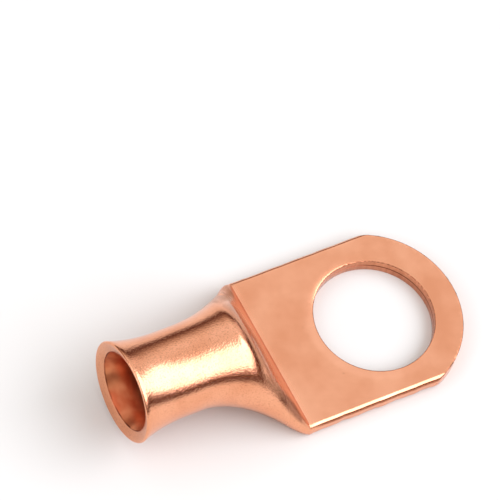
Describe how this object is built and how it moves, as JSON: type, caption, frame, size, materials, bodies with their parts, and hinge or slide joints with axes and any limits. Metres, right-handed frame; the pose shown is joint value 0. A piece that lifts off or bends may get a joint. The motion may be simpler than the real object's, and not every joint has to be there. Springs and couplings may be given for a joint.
{
  "type": "copper cable lug",
  "caption": "One-piece ring cable lug pressed from copper tube, with a bell-mouthed barrel for the wire and a flat tongue punched for a stud.",
  "frame": {"origin": "centre of the stud hole, on the tongue's face that is bolted down", "axes": "+X towards the tip of the tongue, the wire goes in from -X; +Z along the stud hole, away from the bolted face; Y across the tongue"},
  "size_m": [0.042, 0.0192, 0.0126],
  "materials": {
    "copper": "satin, tumbled bare copper"
  },
  "bodies": {
    "root": {"cable_lug": "copper"}
  },
  "joints": []
}
